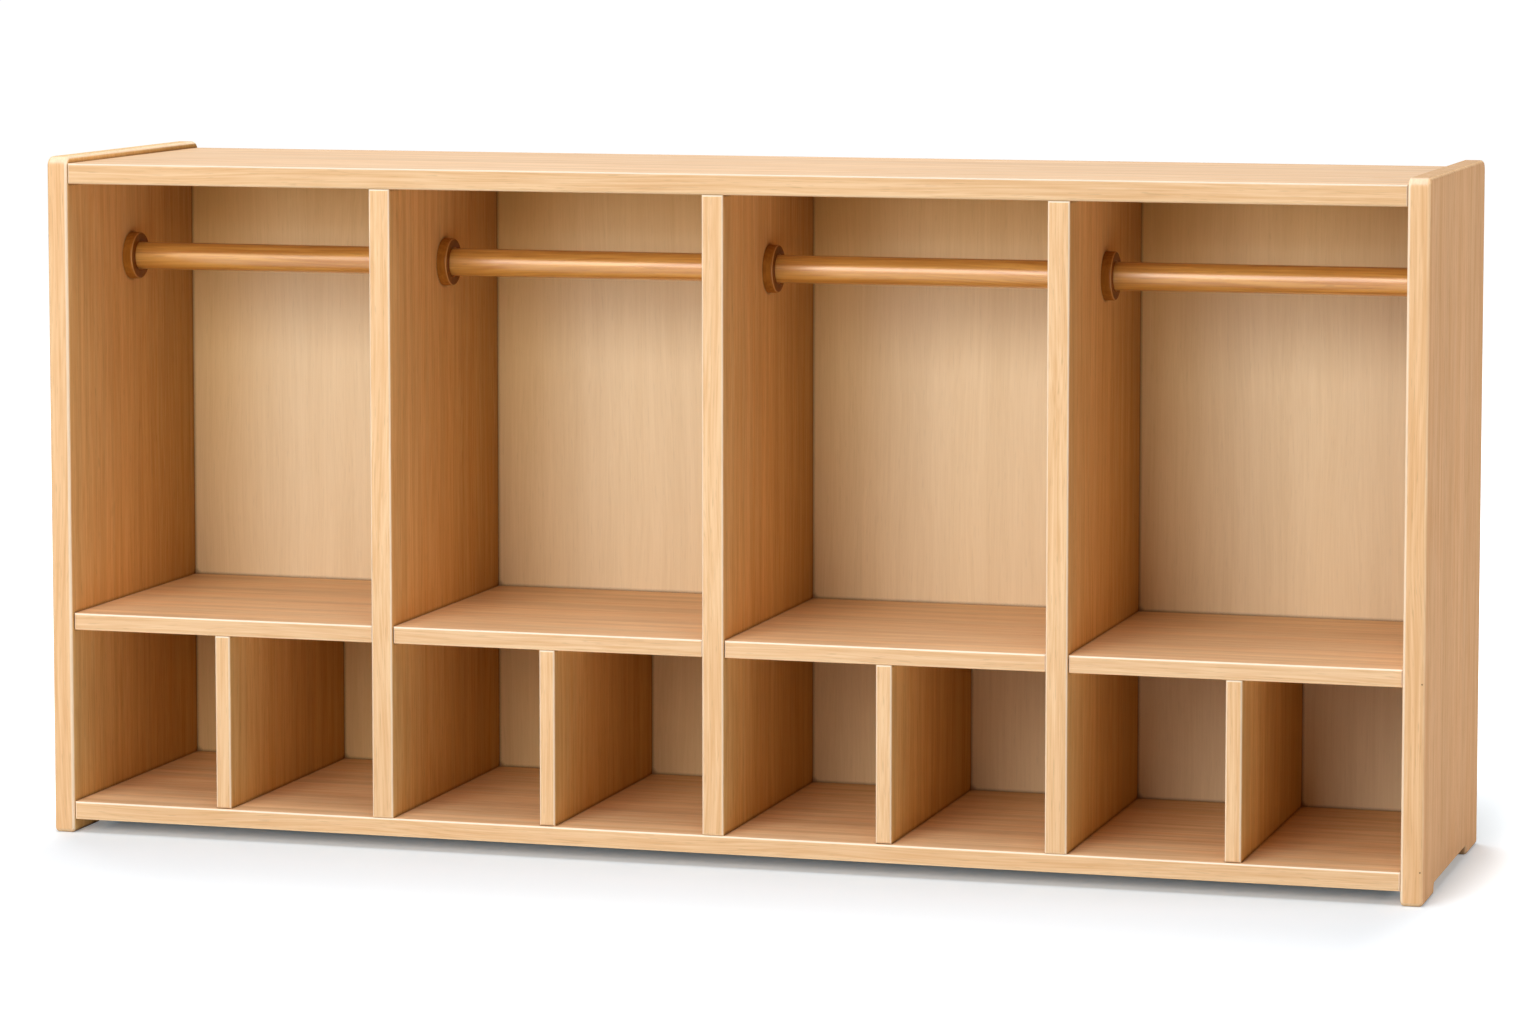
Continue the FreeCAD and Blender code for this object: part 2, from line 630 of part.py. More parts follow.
def export():
    os.makedirs("parts", exist_ok=True)
    for node in nodes:
        node.Shape.exportStep(os.path.join("parts", f"{node.Label}.step"))
        print(f"{node.Label}: {len(node.Shape.Solids)} solids, {node.Shape.Volume:.1f} mm3")


build()
check()
export()
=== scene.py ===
"""Finish, studio and camera for an open children's wardrobe in pale lacquered wood.

Every wooden piece keeps its solid and gets a grain of its own: boards glued from staves, a sliced
veneer on the back panel, turned rods and dark turned cups. The back panel's screws are remade with
a cross recess. Lengths are in metres, +X to the right, +Y to the back and +Z up, with the origin
on the floor.
"""
import math
from typing import NamedTuple

import bmesh
import bpy
from bpy.props import FloatProperty, FloatVectorProperty, PointerProperty
from mathutils import Matrix, Vector


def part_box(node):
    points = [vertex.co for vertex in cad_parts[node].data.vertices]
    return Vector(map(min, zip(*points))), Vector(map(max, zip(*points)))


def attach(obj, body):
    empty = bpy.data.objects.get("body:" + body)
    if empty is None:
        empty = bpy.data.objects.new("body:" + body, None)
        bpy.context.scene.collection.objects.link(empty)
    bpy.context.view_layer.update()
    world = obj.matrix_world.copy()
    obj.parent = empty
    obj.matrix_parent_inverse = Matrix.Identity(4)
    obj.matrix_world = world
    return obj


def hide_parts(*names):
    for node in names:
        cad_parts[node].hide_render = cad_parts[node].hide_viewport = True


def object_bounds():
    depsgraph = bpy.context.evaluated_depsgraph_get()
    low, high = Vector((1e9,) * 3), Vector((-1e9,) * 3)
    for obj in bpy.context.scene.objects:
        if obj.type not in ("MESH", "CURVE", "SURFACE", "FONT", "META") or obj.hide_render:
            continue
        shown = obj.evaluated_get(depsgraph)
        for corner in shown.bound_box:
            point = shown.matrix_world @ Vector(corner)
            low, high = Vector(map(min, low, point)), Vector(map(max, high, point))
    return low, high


bl_info = {
    "name": "Open Wardrobe Finish",
    "version": (1, 0, 0),
    "blender": (4, 5, 0),
    "location": "3D View > Sidebar > Wardrobe",
    "description": "Gives an open wooden wardrobe its woods, screws, studio light and camera",
    "category": "Object",
}

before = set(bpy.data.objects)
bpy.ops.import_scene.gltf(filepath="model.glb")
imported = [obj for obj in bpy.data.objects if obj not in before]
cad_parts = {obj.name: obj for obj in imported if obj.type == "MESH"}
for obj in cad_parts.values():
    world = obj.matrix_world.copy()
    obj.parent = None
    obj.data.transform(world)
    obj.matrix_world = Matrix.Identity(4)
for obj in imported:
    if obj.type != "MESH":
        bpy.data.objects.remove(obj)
CAD_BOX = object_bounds()
BODY = "carcass"

# Ways that a face can look, and plain tones
RIGHT = (1, 0, 0)
LEFT = (-1, 0, 0)
FRONT = (0, -1, 0)
REAR = (0, 1, 0)
UP = (0, 0, 1)
WHITE = (1, 1, 1, 1)
BLACK = (0, 0, 0, 1)


def colour(red, green, blue):
    """A colour as seen on a screen, 0 to 255, as the linear light that a shader works with."""

    def linear(channel):
        # The usual curve of a screen, which is straight near black
        return channel / 12.92 if channel <= 0.04045 else ((channel + 0.055) / 1.055) ** 2.4

    return tuple(linear(channel / 255) for channel in (red, green, blue))


# Kinds of setting


def tint(name, description, *screen):
    return FloatVectorProperty(
        name=name, description=description, subtype="COLOR", size=3, min=0, max=1,
        default=colour(*screen),
    )


def length(name, description, default):
    return FloatProperty(
        name=name, description=description, unit="LENGTH", min=0, default=default
    )


def share(name, description, default):
    return FloatProperty(
        name=name, description=description, subtype="FACTOR", min=0, max=1, default=default
    )


def watts(name, description, default):
    return FloatProperty(
        name=name, description=description, subtype="POWER", min=0, default=default
    )


# Settings that a user would change


class WardrobeWoods(bpy.types.PropertyGroup):
    """Colours and gloss of the woods."""

    panel_light: tint("Panel, pale", "Early wood of the panels", 252, 213, 169)
    panel_dark: tint("Panel, deep", "Late wood of the panels", 237, 189, 139)
    # Painted shade on the brightly lit fronts
    front_shade: tint("Front tone", "Warmer tone of the front edges", 248, 246, 242)
    # Painted shade on the shelves and the bottom panel near the back
    shelf_shade_rear: tint("Shelf tone, rear", "Warmer tone of the shelves near the back", 234, 229, 217)
    cubby_floor_shade: tint("Cubby floor, rear", "Tone of the bottom panel near the back", 235, 226, 204)
    # Painted shade on the upright faces inside a bay and a cubby, deeper near the back panel
    wall_shade_front: tint("Wall tone", "Deeper tone of the upright faces inside a bay", 253, 241, 207)
    wall_shade_rear: tint("Wall tone, rear", "Tone of those faces near the back panel", 197, 184, 147)
    cubby_shade_front: tint("Cubby tone", "Tone of the upright faces inside a cubby", 255, 250, 214)
    cubby_shade_rear: tint("Cubby tone, rear", "Tone of those faces near the back panel", 208, 194, 148)
    # Painted shade on the outer side faces
    outer_shade: tint("Outer tone", "Slightly deeper tone of the outer side faces", 251, 237, 229)
    # Painted shade on the back panel in a bay's corners and under the top
    bay_corner_shade: tint("Corner tone", "Warmer tone of the back in a bay's corners", 254, 240, 204)
    # Painted highlight on the rounded edges, and a warmer painted shade on those that look down
    edge_highlight: tint("Edge highlight", "Painted highlight along the rounded edges", 255, 243, 222)
    lower_edge_shade: tint("Lower edge", "Painted warm shade along the edges that look down", 255, 220, 172)
    back_light: tint("Back, pale", "Pale veneer of the back panel", 243, 220, 183)
    back_dark: tint("Back, deep", "Deeper streaks of the back panel", 229, 203, 163)
    shade_tone: tint("Shaded tone", "Tone of the back in its most shaded parts", 231, 227, 228)
    rear_tone: tint("Rear tone", "Warmer tone of the back seen from behind", 255, 244, 227)
    rod_light: tint("Rod, pale", "Pale fibres of the rods", 214, 156, 74)
    rod_dark: tint("Rod, deep", "Deep fibres of the rods", 182, 119, 44)
    socket_light: tint("Cup, pale", "Pale fibres of the stained cups", 179, 115, 43)
    socket_dark: tint("Cup, deep", "Deep fibres of the stained cups", 143, 83, 23)
    # Painted highlight along the rim of a cup
    rim_highlight: tint("Cup rim", "Painted highlight along the rim of a cup", 214, 160, 98)
    cup_end: tint("Cup end", "Deeper tone of the end grain of a cup", 200, 186, 160)
    dowel_light: tint("Dowel, pale", "Pale fibres of the dowels", 226, 190, 146)
    dowel_dark: tint("Dowel, deep", "Deep fibres of the dowels", 205, 164, 116)
    stave_width: length("Stave width", "Width of the strips that a board is glued from", 0.058)
    ring_gap: length("Ring gap", "Distance between two growth rings", 0.0075)
    panel_roughness: share("Panel roughness", "Roughness of the lacquered panels", 0.42)
    rod_roughness: share("Rod roughness", "Roughness of the lacquered rods", 0.42)


class WardrobeStage(bpy.types.PropertyGroup):
    """Studio light, floor and camera."""

    floor_tint: tint("Floor", "Colour of the floor", 232, 239, 245)
    # Near the cabinet the floor's glow is lowered as a painted shadow, which ends at the shadow
    # reach
    floor_glow: share("Floor glow", "Part of the floor's white that shadows don't reach", 0.17)
    shadow_reach: length("Shadow reach", "Distance at which the floor is all white", 0.85)
    key_power: watts("Front softbox", "Power of the large softbox in front", 160)
    top_power: watts("Top softbox", "Power of the softbox overhead", 53)
    side_power: watts("Side softbox", "Power of the softbox on the right", 142)
    rear_power: watts("Rear softbox", "Power of the softbox behind on the left", 95)
    sky: FloatProperty(name="Sky", description="Strength of the light from all round", default=0.03)
    lens: FloatProperty(name="Lens", description="Focal length", unit="CAMERA", default=120)
    camera_shift: FloatProperty(
        name="Shift", description="Vertical shift of the lens, below 0 for a downward one",
        default=-0.1,
    )


# Node trees


class Nodes:
    """The nodes of a material or of the world, with short calls for those that a finish needs."""

    def __init__(self, owner, shader="Principled BSDF"):
        owner.use_nodes = True
        self.owner = owner
        self.tree = owner.node_tree
        self.shader = self.tree.nodes[shader]

    def feed(self, node, inputs):
        """Give a node's inputs, by name or number, values or other nodes' outputs."""
        for key, value in inputs.items():
            if isinstance(value, bpy.types.NodeSocket):
                self.tree.links.new(value, node.inputs[key])
            else:
                node.inputs[key].default_value = value

    def add(self, kind, inputs=None, **settings):
        """A new node with its settings and inputs."""
        node = self.tree.nodes.new(f"ShaderNode{kind}")
        for key, value in settings.items():
            setattr(node, key, value)
        self.feed(node, inputs or {})
        return node

    def math(self, operation, *values):
        return self.add("Math", dict(enumerate(values)), operation=operation).outputs[0]

    def vector(self, operation, *values):
        node = self.add("VectorMath", dict(enumerate(values)), operation=operation)
        return node.outputs["Vector"]

    def measure(self, operation, *values):
        """A number that vectors give, such as their distance."""
        node = self.add("VectorMath", dict(enumerate(values)), operation=operation)
        return node.outputs["Value"]

    def parts(self, vector):
        """A vector's X, Y and Z."""
        return self.add("SeparateXYZ", {"Vector": vector}).outputs

    def noise(self, place, cell, detail=2.0, output="Fac"):
        """Noise whose grains measure the three lengths of a cell."""
        scaled = self.vector("MULTIPLY", place, tuple(1 / size for size in cell))
        inputs = {"Vector": scaled, "Scale": 1.0, "Detail": detail, "Roughness": 0.5}
        return self.add("TexNoise", inputs).outputs[output]

    def swing(self, value, amount):
        """A value from 0 to 1 turned into a change of plus or minus half an amount."""
        return self.math("MULTIPLY", self.math("SUBTRACT", value, 0.5), amount)

    def total(self, *values):
        result = values[0]
        for value in values[1:]:
            result = self.math("ADD", result, value)
        return result

    def span(self, value, low, high, out_low=0.0, out_high=1.0):
        """A smooth step from one number to another while a value goes from low to high."""
        inputs = {
            "Value": value, "From Min": low, "From Max": high, "To Min": out_low, "To Max": out_high
        }
        return self.add("MapRange", inputs, interpolation_type="SMOOTHSTEP").outputs["Result"]

    def blend(self, amount, first, second, blend_type="MIX"):
        """Two colours laid over each other by an amount."""
        node = self.add("Mix", data_type="RGBA", blend_type=blend_type)
        numbers = {socket.identifier: number for number, socket in enumerate(node.inputs)}
        values = {"Factor_Float": amount, "A_Color": first, "B_Color": second}
        self.feed(node, {numbers[name]: value for name, value in values.items()})
        return next(socket for socket in node.outputs if socket.identifier == "Result_Color")


def opaque(tone):
    """A tone with the fourth number that a colour socket takes."""
    return (*tone, 1)


# Woods and steel

# Axes across the face, through the thickness and along the grain of a piece
UPRIGHT_GRAIN = "YXZ"
LYING_GRAIN = "YZX"
BACK_GRAIN = "XYZ"

# Sizes of a grain's features across the face, through the thickness and along the grain
DRIFT_CELL = (0.07, 0.07, 0.30)
WAVER_CELL = (0.2, 0.2, 0.35)
BAND_CELL = (0.009, 0.009, 0.40)
STREAK_CELL = (0.0026, 0.0026, 0.13)
FIBRE_CELL = (0.0012, 0.0012, 0.05)
PORE_CELL = (0.0009, 0.0009, 0.016)
CLOUD_CELL = (0.05, 0.05, 0.30)

# How far fibres drift and growth rings waver, and how deep the heart of a stave lies
DRIFT = (0.02, 0.02, 0)
WAVER = 0.03
HEART_DEPTH = 0.02
HEART_SPREAD = 0.05

# What one seed more changes: the place of the staves, their luck, and where their noise starts
PLACE_STEP = 0.0137
LUCK_STEP = 7.31
NOISE_STEP = 1.7

# Parts of the gap between two rings in which the wood deepens and turns pale again
RING_DEEPENS = (0.1, 0.8)
RING_PALES = (0.82, 1.0)

# Noise from which a pore starts and is complete, and how bright it is next to the deep wood
PORE_LIMITS = (0.66, 0.80)
PORE_TONE = 0.55

# How much the streaks change the roughness, and how high they stand
STREAK_ROUGHNESS = 0.12
STREAK_HEIGHT = 0.0004

# Cosines from which a face begins to look one way and does so fully, and those of a turned edge
FACE_LIMITS = (0.8, 0.98)
TURN_LIMITS = (0.05, 0.35)

# Noise over which broad bands darken
BAND_LIMITS = (0.35, 0.65)

# Rounded edges with a painted highlight: largest part of a normal from the middle of an edge to its
# end, rise of a normal from side edges to upper ones and from lower edges to side ones, and how
# strong the painted highlight is on each sort
EDGE_LIMITS = (0.86, 0.997)
UPPER_LIMITS = (0.1, 0.5)
LOWER_LIMITS = (-0.5, -0.1)
SIDE_HIGHLIGHT = 0.5
UPPER_HIGHLIGHT = 0.85
OUTER_HIGHLIGHT = 0.4

# Painted shade in the corners where pieces meet, drawn as a thin dark line: reach and rays of the
# search for corners, openness over which the shade fades, how strong it is, which part of it shows
# on a front, and its tone
JOINT_SHADE_REACH = 0.006
JOINT_SHADE_RAYS = 8
JOINT_SHADE_LIMITS = (0.45, 0.75)
JOINT_SHADE_STRENGTH = 0.7
JOINT_SHADE_ON_FRONT = 0.3
JOINT_SHADE_TONE = colour(92, 48, 16)

# Zinc plating: its tone, the size and tone of its clouds, its roughness and how much that changes
PLATED = colour(196, 194, 188)
PLATED_CELL = (0.0012, 0.0012, 0.0012)
PLATED_DULL = 0.75
PLATED_ROUGHNESS = 0.3
PLATED_SWING = 0.16


class Grain(NamedTuple):
    """Sizes of a grain, how much each of its features shows, and how its surface shines."""

    # Width of a glued strip and distance between two growth rings
    stave: float
    ring_gap: float
    # Strength of the features, and how much the tone changes along a piece and between staves
    ring: float
    band: float
    streak: float
    fibre: float
    pores: float
    cloud: float
    stave_tone: float = 0.0
    # The bare surface, the coat on it and its roughness, and a metal's share in its lustre
    roughness: float = 0.5
    specular: float = 0.0
    coat: float = 0.0
    gloss: float = 0.2
    lustre: float = 0.0
    bump: float = 0.0
    # How bright the wood is
    tone: float = 1.0


def wood(name, tints, grain, axes, centre, seed, shading_and_marks=None):
    """Solid wood: rings round a far heart, streaks, fibres and pores, drawn out along the grain."""
    nodes = Nodes(bpy.data.materials.new(name))
    light, dark = tints
    coordinates = nodes.add("TexCoord").outputs
    place = coordinates["Object"]
    from_centre = nodes.parts(nodes.vector("SUBTRACT", place, centre))
    across, through, along = [from_centre[axis] for axis in axes]
    across = nodes.math("ADD", across, seed * PLACE_STEP)

    # The heart, depth and tone that fall to each stave
    staves = nodes.math("DIVIDE", across, grain.stave)
    number = nodes.math("ADD", nodes.math("FLOOR", staves), seed * LUCK_STEP)
    luck = nodes.add("TexWhiteNoise", {"W": number}, noise_dimensions="1D").outputs["Color"]
    chance = nodes.add("SeparateColor", {"Color": luck}).outputs
    heart, depth, tone = [chance[part] for part in ("Red", "Green", "Blue")]

    # Fibres that start anew in each stave and drift on their way along it
    start = {"X": heart, "Y": depth, "Z": nodes.math("ADD", tone, seed * NOISE_STEP)}
    start = nodes.add("CombineXYZ", start).outputs[0]
    straight = nodes.add("CombineXYZ", {"X": across, "Y": through, "Z": along}).outputs[0]
    straight = nodes.vector("ADD", straight, start)
    drift = nodes.noise(straight, DRIFT_CELL, detail=1.0, output="Color")
    drift = nodes.vector("MULTIPLY", nodes.vector("SUBTRACT", drift, (0.5, 0.5, 0.5)), DRIFT)
    bent = nodes.vector("ADD", straight, drift)

    # Growth rings by their distance from the heart
    in_stave = nodes.math("SUBTRACT", nodes.math("FRACT", staves), heart)
    in_stave = nodes.math("MULTIPLY", in_stave, grain.stave)
    sideways = nodes.math("ADD", in_stave, nodes.swing(nodes.noise(bent, WAVER_CELL), WAVER))
    inward = nodes.total(through, nodes.math("MULTIPLY", depth, HEART_SPREAD), HEART_DEPTH)
    squares = [nodes.math("POWER", leg, 2.0) for leg in (sideways, inward)]
    radius = nodes.math("SQRT", nodes.total(*squares))
    phase = nodes.math("FRACT", nodes.math("DIVIDE", radius, grain.ring_gap))
    deepens, pales = nodes.span(phase, *RING_DEEPENS), nodes.span(phase, *RING_PALES, 1.0, 0.0)
    ring = nodes.math("MULTIPLY", deepens, pales)

    # Pale and deep wood by all features together, then the pores
    band = nodes.noise(bent, BAND_CELL, detail=1.0)
    streak = nodes.noise(bent, STREAK_CELL, detail=1.0)
    fibre = nodes.noise(bent, FIBRE_CELL, detail=0.0)
    features = (
        (ring, grain.ring), (band, grain.band), (streak, grain.streak), (fibre, grain.fibre)
    )
    changes = [nodes.swing(feature, strength) for feature, strength in features]
    share_dark = nodes.add("Clamp", {"Value": nodes.total(0.5, *changes)}).outputs[0]
    wooden = nodes.blend(share_dark, opaque(light), opaque(dark))
    pore = nodes.span(nodes.noise(bent, PORE_CELL, detail=0.0), *PORE_LIMITS)
    pore_tone = [channel * PORE_TONE for channel in dark]
    wooden = nodes.blend(nodes.math("MULTIPLY", pore, grain.pores), wooden, opaque(pore_tone))

    # A step that paints shade and highlights on the wood, and draws its marks
    if shading_and_marks:
        wooden = shading_and_marks(nodes, place, coordinates["Normal"], wooden)
    cloud = nodes.swing(nodes.noise(bent, CLOUD_CELL, detail=1.0), grain.cloud)
    value = nodes.total(grain.tone, nodes.swing(tone, grain.stave_tone), cloud)
    wooden = nodes.add("HueSaturation", {"Color": wooden, "Value": value}).outputs["Color"]

    roughness = nodes.math("ADD", grain.roughness, nodes.swing(streak, STREAK_ROUGHNESS))
    nodes.feed(nodes.shader, {
        "Base Color": wooden,
        "Roughness": roughness,
        "Metallic": grain.lustre,
        "Coat Weight": grain.coat,
        "Coat Roughness": grain.gloss,
        "Specular IOR Level": grain.specular,
    })
    if grain.bump:
        inputs = {"Height": streak, "Strength": grain.bump, "Distance": STREAK_HEIGHT}
        nodes.feed(nodes.shader, {"Normal": nodes.add("Bump", inputs).outputs["Normal"]})
    return nodes.owner


def towards(nodes, normal, way, tone, wooden):
    """Tone the faces that look one way."""
    facing = nodes.measure("DOT_PRODUCT", normal, way)
    return nodes.blend(nodes.span(facing, *FACE_LIMITS), wooden, tone, "MULTIPLY")


def banded(nodes, place, cell, depth, tone):
    """A tone with broad darker bands, whose grains measure the three lengths of a cell."""
    bands = nodes.span(nodes.noise(place, cell), *BAND_LIMITS)
    return nodes.blend(nodes.math("MULTIPLY", bands, depth), tone, BLACK)


def painted_edge_highlights(nodes, normal, woods, wooden, upper_highlight, plain=None):
    """Painted highlight along the rounded edges, where a normal lies between two axes.

    Edges that look to the plain side stay as they are; those that look down get a warmer painted
    shade.
    """
    sizes = nodes.parts(nodes.vector("ABSOLUTE", normal))
    largest = nodes.math("MAXIMUM", nodes.math("MAXIMUM", sizes["X"], sizes["Y"]), sizes["Z"])
    rise = nodes.parts(normal)["Z"]
    highlight_share = nodes.span(rise, *UPPER_LIMITS, SIDE_HIGHLIGHT, upper_highlight)
    amount = nodes.math("MULTIPLY", nodes.span(largest, *EDGE_LIMITS, 1.0, 0.0), highlight_share)
    if plain:
        facing = nodes.measure("DOT_PRODUCT", normal, plain)
        amount = nodes.math("MULTIPLY", amount, nodes.span(facing, *TURN_LIMITS, 1.0, 0.0))
    level = nodes.span(rise, *LOWER_LIMITS)
    edge = nodes.blend(level, opaque(woods.lower_edge_shade), opaque(woods.edge_highlight))
    return nodes.blend(amount, wooden, edge)


def painted_joint_shade(nodes, wooden, normal=None):
    """Painted shade in the corners where pieces meet, as a thin dark line, fainter on fronts if a
    normal is given.
    """
    corner = nodes.add("AmbientOcclusion", {"Distance": JOINT_SHADE_REACH}, samples=JOINT_SHADE_RAYS)
    line = nodes.span(corner.outputs["AO"], *JOINT_SHADE_LIMITS, JOINT_SHADE_STRENGTH, 0.0)
    if normal:
        facing = nodes.measure("DOT_PRODUCT", normal, FRONT)
        fainter = nodes.span(facing, *TURN_LIMITS, 1.0, JOINT_SHADE_ON_FRONT)
        line = nodes.math("MULTIPLY", line, fainter)
    return nodes.blend(line, wooden, opaque(JOINT_SHADE_TONE))


def plated_steel(name):
    """Zinc-plated steel with a faint cloudy sheen."""
    nodes = Nodes(bpy.data.materials.new(name))
    place = nodes.add("TexCoord").outputs["Object"]
    cloud = nodes.noise(place, PLATED_CELL, detail=3.0)
    dull = [channel * PLATED_DULL for channel in PLATED]
    nodes.feed(nodes.shader, {
        "Base Color": nodes.blend(cloud, opaque(PLATED), opaque(dull)),
        "Roughness": nodes.math("ADD", PLATED_ROUGHNESS, nodes.swing(cloud, PLATED_SWING)),
        "Metallic": 1.0,
    })
    return nodes.owner


# Wooden pieces

# First seed of each sort of piece: every seed gives another grain
SEEDS = {"upright": 1, "lying": 21, "back": 31, "rod": 41, "cup": 51, "dowel": 71}

# Upright panels: tones of a side panel's front and upper end, both painted shade, part of the depth
# at which the painted shade on a bay's wall begins to deepen, cell and depth of the walls' bands,
# and how much paler that painted shade stays on the lit faces that look to the left
OUTER_FRONT_SHADE = (0.98, 0.94, 0.90)
UPPER_END_SHADE = {LEFT: (0.88, 0.97, 1.0), RIGHT: (0.72, 0.72, 0.76)}
WALL_START = 0.2
WALL_BANDS = (0.3, 0.013, 0.5)
WALL_BAND_DEPTH = 0.07
LEFT_LIT_LIFT = 0.55

# Pin marks on the right side panel: heights, distance from the outer face, radius, part of the
# radius that is fully dark, and tone
PIN_LEVELS = (0.185, 0.029)
PIN_INSET = 0.0025
PIN_RADIUS = 0.0009
PIN_CORE = 0.45
PIN_TONE = (0.2, 0.09, 0.03)

# Lying panels: cell and depth of their bands
BOARD_BANDS = (0.5, 0.016, 0.3)
BOARD_BAND_DEPTH = 0.12

# Back panel, painted shade: how far it reaches beside a wall and under the top, how much of it the
# foot of a bay and the first cubby get, and cosines over which a face turns to the front
CORNER_WIDTH = 0.11
CORNER_HEIGHT = 0.13
FOOT_SHARE = 0.5
CUBBY_SHARE = 0.9
VENEER_LIMITS = (0.5, 0.9)

# Cups: part of a normal along the axis at the end grain and where the rim begins and ends, and how
# strong the highlight painted on the rim is
END_LIMITS = (0.9, 0.99)
RIM_BEGINS = (0.25, 0.6)
RIM_ENDS = (0.7, 0.95)
RIM_HIGHLIGHT_SHARE = 0.5


class Board(NamedTuple):
    """Gloss of a lying panel, and how bright its wood is all over and on its front edge: painted
    shade on the lit top, painted light on the shaded shelves and bottom.
    """

    shine: float
    tone: float
    front: float


# Brightness is painted light and shade: the lit top panel is darker, the shaded shelves and bottom
# brighter
SHELF_BOARD = Board(shine=0.2, tone=1.08, front=0.95)
OTHER_BOARDS = {
    "top_panel": Board(shine=0.04, tone=0.81, front=0.91),
    "bottom_panel": Board(shine=0.05, tone=1.08, front=0.97),
}


def middle(node):
    low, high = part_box(node)
    return (low + high) / 2


def dress(node, material):
    """Give every slot of a solid one material."""
    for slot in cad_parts[node].material_slots:
        slot.material = material


def dress_in_wood(node, tints, grain, axes, seed, shading_and_marks=None):
    """Give a solid wood of its own, named after it and with its grain about its middle."""
    dress(node, wood(f"{node}_wood", tints, grain, axes, middle(node), seed, shading_and_marks))


def named(*starts):
    """Names of the solids that start with given words and aren't fasteners, in order."""
    fasteners = ("dowels", "screws")
    return [
        node for node in sorted(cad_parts)
        if node.startswith(starts) and not any(word in node for word in fasteners)
    ]


def pin_marks(nodes, place, wooden):
    """Two small dark pin marks near the outer front edge of the right side panel."""
    low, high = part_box("right_side_panel")
    for level in PIN_LEVELS:
        mark = (high.x - PIN_INSET, low.y, low.z + level)
        distance = nodes.measure("DISTANCE", place, mark)
        dark = nodes.span(distance, PIN_RADIUS * PIN_CORE, PIN_RADIUS, 1.0, 0.0)
        wooden = nodes.blend(dark, wooden, opaque(PIN_TONE))
    return wooden


def upright_shading_and_marks(node, woods):
    """A step that paints shade on an upright panel's faces, a highlight on its edges and shade in
    its joints, and draws its pin marks.
    """
    outer = {"left_side_panel": LEFT, "right_side_panel": RIGHT}.get(node)
    front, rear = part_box(node)[0].y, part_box("back_panel")[0].y
    deepens = front + (rear - front) * WALL_START
    shelf_level = middle("shelf_1").z
    # Painted shade on the fronts, deeper on the side panels
    front_share = OUTER_FRONT_SHADE if outer else (1.0, 1.0, 1.0)
    front_shade = [channel * part for channel, part in zip(woods.front_shade, front_share)]
    upper_highlight = OUTER_HIGHLIGHT if outer else UPPER_HIGHLIGHT

    def shading_and_marks(nodes, place, normal, wooden):
        parts = nodes.parts(place)
        # Painted shade on the walls, deeper towards the back and paler on the lit faces to the left
        in_bay = nodes.span(parts["Y"], deepens, rear)
        bay = nodes.blend(in_bay, opaque(woods.wall_shade_front), opaque(woods.wall_shade_rear))
        in_cubby = nodes.span(parts["Y"], front, rear)
        cubby = nodes.blend(in_cubby, opaque(woods.cubby_shade_front), opaque(woods.cubby_shade_rear))
        wall = nodes.blend(nodes.math("GREATER_THAN", parts["Z"], shelf_level), cubby, bay)
        wall = banded(nodes, place, WALL_BANDS, WALL_BAND_DEPTH, wall)
        tones = {RIGHT: wall, LEFT: nodes.blend(LEFT_LIT_LIFT, wall, WHITE)}
        # Painted shade on the outer face of a side panel
        if outer:
            tones[outer] = opaque(woods.outer_shade)
        for way, tone in tones.items():
            wooden = towards(nodes, normal, way, tone, wooden)
        wooden = towards(nodes, normal, FRONT, opaque(front_shade), wooden)
        # Painted shade on the upper end of a side panel, much deeper on the right one
        if outer:
            wooden = towards(nodes, normal, UP, opaque(UPPER_END_SHADE[outer]), wooden)
        # Painted highlights and shade on the rounded edges
        wooden = painted_edge_highlights(nodes, normal, woods, wooden, upper_highlight, outer)
        if outer == RIGHT:
            wooden = pin_marks(nodes, place, wooden)
        # Painted shade in the corners where pieces meet
        return painted_joint_shade(nodes, wooden, normal)

    return shading_and_marks


def lying_shading_and_marks(node, woods, front_share):
    """A step that paints shade on a lying panel's faces, draws its bands, and paints a highlight on
    its edges and shade in its joints.
    """
    front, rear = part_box("shelf_1")[0].y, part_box("back_panel")[0].y
    rear_tones = {"top_panel": (1, 1, 1), "bottom_panel": woods.cubby_floor_shade}
    rear_tone = rear_tones.get(node, woods.shelf_shade_rear)
    front_shade = [channel * front_share for channel in woods.front_shade]

    def shading_and_marks(nodes, place, normal, wooden):
        # Painted shade on the upper face, deeper towards the back; the top panel gets none
        deep = nodes.span(nodes.parts(place)["Y"], front, rear)
        upper = nodes.blend(deep, WHITE, opaque(rear_tone))
        upper = banded(nodes, place, BOARD_BANDS, BOARD_BAND_DEPTH, upper)
        wooden = towards(nodes, normal, UP, upper, wooden)
        # Painted shade on the front
        wooden = towards(nodes, normal, FRONT, opaque(front_shade), wooden)
        # Painted highlights and shade on the rounded edges
        wooden = painted_edge_highlights(nodes, normal, woods, wooden, UPPER_HIGHLIGHT)
        # Painted shade in the corners where pieces meet
        return painted_joint_shade(nodes, wooden, normal)

    return shading_and_marks


